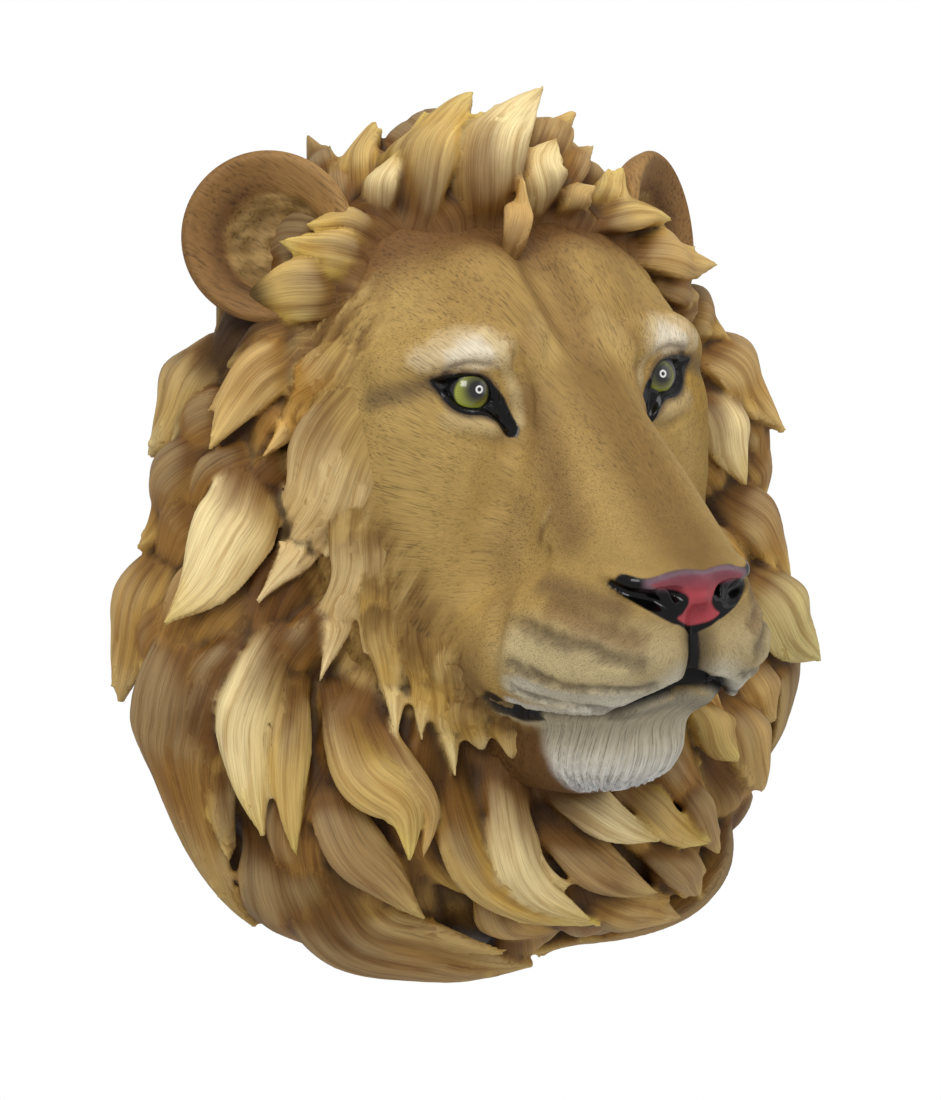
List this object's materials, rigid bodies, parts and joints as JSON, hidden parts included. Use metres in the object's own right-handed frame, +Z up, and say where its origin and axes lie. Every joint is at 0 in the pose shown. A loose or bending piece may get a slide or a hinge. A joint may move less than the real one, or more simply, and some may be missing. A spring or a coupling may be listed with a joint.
{
  "type": "lion head wall sculpture",
  "caption": "Cast resin lion head with a full carved mane, rounded ears, inset eyes and a flat back that fixes to a wall.",
  "frame": {"origin": "on the flat back, at the wall, behind the middle of the head", "axes": "+Y out of the flat back into the wall, -Y the way the lion looks, +Z up, +X to the lion's left"},
  "size_m": [0.3569, 0.2384, 0.4079],
  "materials": {
    "painted_resin": "hand-painted cast resin, satin to matte",
    "eye_acrylic": "clear glossy acrylic over a painted iris"
  },
  "bodies": {
    "root": {"head_casting": "painted_resin", "right_eye": "eye_acrylic", "left_eye": "eye_acrylic"}
  },
  "joints": []
}
